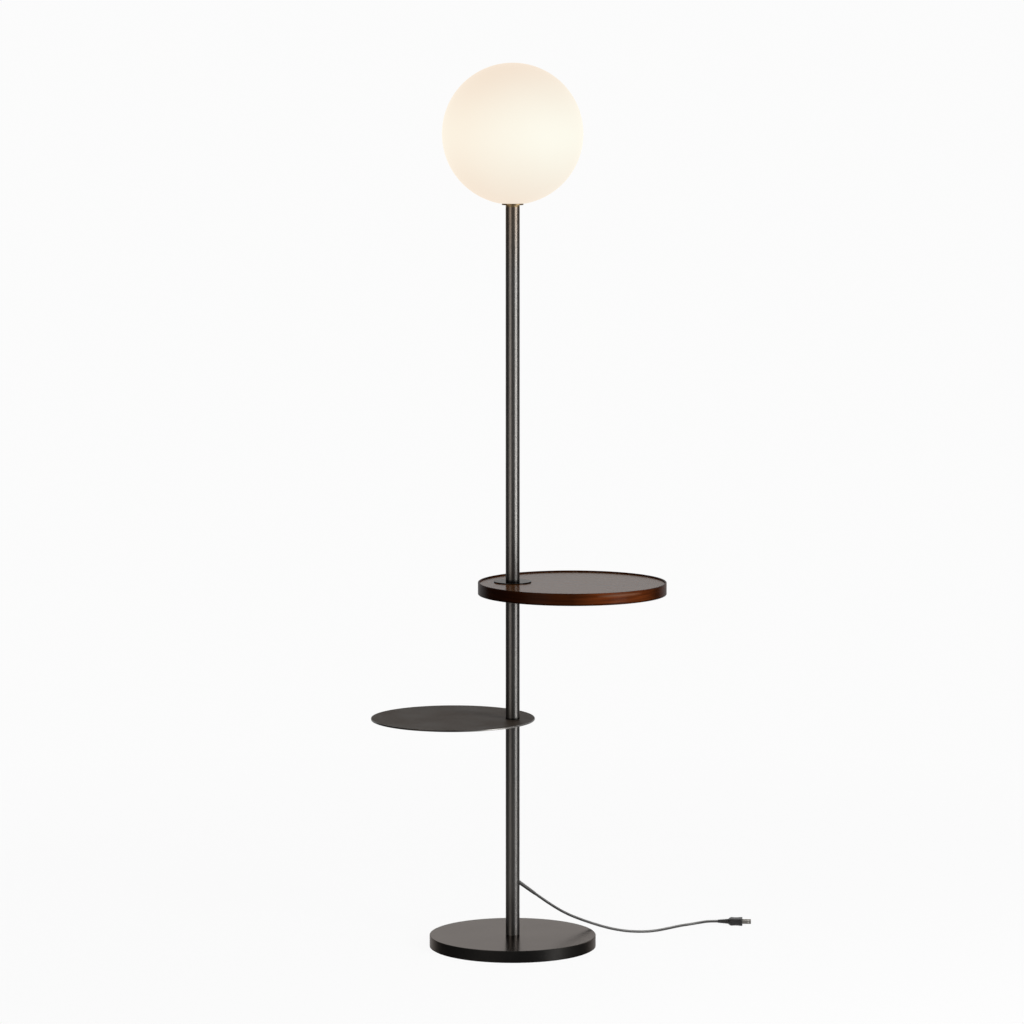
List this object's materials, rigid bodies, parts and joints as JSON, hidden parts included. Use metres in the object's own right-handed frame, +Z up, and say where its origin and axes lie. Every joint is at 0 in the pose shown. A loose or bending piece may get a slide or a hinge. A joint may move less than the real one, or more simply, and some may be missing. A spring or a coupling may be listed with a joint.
{
  "type": "shelf floor lamp",
  "caption": "Floor lamp with an opal globe on a slim pole, a round rimmed tray and a round flat shelf that swivel on the pole, a heavy disc base and a mains cord.",
  "frame": {"origin": "on the floor, at the pole's axis, in the plane that the base's pad rests on", "axes": "+Z up along the pole, +X from the pole's axis towards the tray's centre at rest, -X towards the shelf's"},
  "size_m": [0.6754, 0.4318, 1.6093],
  "materials": {
    "base_black": "satin black powder coat",
    "cast_weight": "as cast",
    "foam_pad": "closed cell foam",
    "plated_steel": "zinc plated",
    "gunmetal": "polished gunmetal plating",
    "nylon": "turned nylon",
    "shelf_bronze": "fine dark bronze powder coat",
    "walnut_rim": "dark stained, lacquered",
    "walnut_floor": "dark stained, high gloss lacquer",
    "flange_steel": "satin gunmetal",
    "aged_brass": "aged, satin",
    "gasket_rubber": "moulded",
    "opal_glass": "satin opal, lit from inside",
    "collar_aluminium": "turned",
    "holder_black": "moulded",
    "holder_ceramic": "unglazed ceramic",
    "contact_brass": "pressed",
    "cap_aluminium": "pressed",
    "bulb_opal": "opal, lit from inside",
    "diode_board": "white board",
    "cord_plastic": "smooth flexible plastic",
    "plug_plastic": "moulded flexible plastic",
    "blade_nickel": "nickel plated brass"
  },
  "bodies": {
    "stand": {"base_cover": "base_black", "base_weight": "cast_weight", "base_pad": "foam_pad", "base_washer": "plated_steel", "base_bolt": "plated_steel", "lower_tube": "gunmetal", "middle_tube": "gunmetal", "upper_tube": "gunmetal", "foot_insert": "plated_steel", "lower_top_insert": "plated_steel", "middle_bottom_insert": "plated_steel", "middle_top_insert": "plated_steel", "upper_bottom_insert": "plated_steel", "upper_top_insert": "plated_steel", "shelf_stud": "plated_steel", "tray_stud": "plated_steel", "shelf_washers": "nylon", "tray_washers": "nylon", "globe_seat": "aged_brass", "globe_gasket": "gasket_rubber", "neck_nipple": "plated_steel", "neck_nut": "plated_steel", "holder_cup": "holder_black", "holder_skirt": "holder_black", "holder_insulator": "holder_ceramic", "holder_shell": "contact_brass", "holder_contact": "contact_brass", "cord_bush": "cord_plastic", "inner_cable": "cord_plastic", "cord": "cord_plastic", "plug_body": "plug_plastic", "plug_blades": "blade_nickel"},
    "shelf": {"shelf_plate": "shelf_bronze"},
    "tray": {"tray_rim": "walnut_rim", "tray_floor": "walnut_floor", "tray_top_flange": "flange_steel", "tray_under_flange": "flange_steel", "tray_flange_screws": "plated_steel"},
    "globe": {"globe_upper_half": "opal_glass", "globe_lower_half": "opal_glass", "globe_neck": "opal_glass", "globe_collar": "collar_aluminium"},
    "bulb": {"bulb_tip": "contact_brass", "bulb_cap": "cap_aluminium", "bulb_envelope": "bulb_opal", "bulb_led_board": "diode_board"}
  },
  "joints": [
    {"name": "shelf_swivel", "type": "hinge", "parent": "stand", "child": "shelf", "pos_m": [0, 0, 0.4187], "axis": [0, 0, 1], "continuous": true},
    {"name": "tray_swivel", "type": "hinge", "parent": "stand", "child": "tray", "pos_m": [0, 0, 0.6651], "axis": [0, 0, 1], "continuous": true},
    {"name": "globe_lift_off", "type": "slide", "parent": "stand", "child": "globe", "axis": [0, 0, 1], "range_m": [0, 0.18]},
    {"name": "bulb_unscrew", "type": "hinge", "parent": "stand", "child": "bulb", "pos_m": [0, 0, 1.4333], "axis": [0, 0, 1], "range_deg": [0, 1260]}
  ]
}
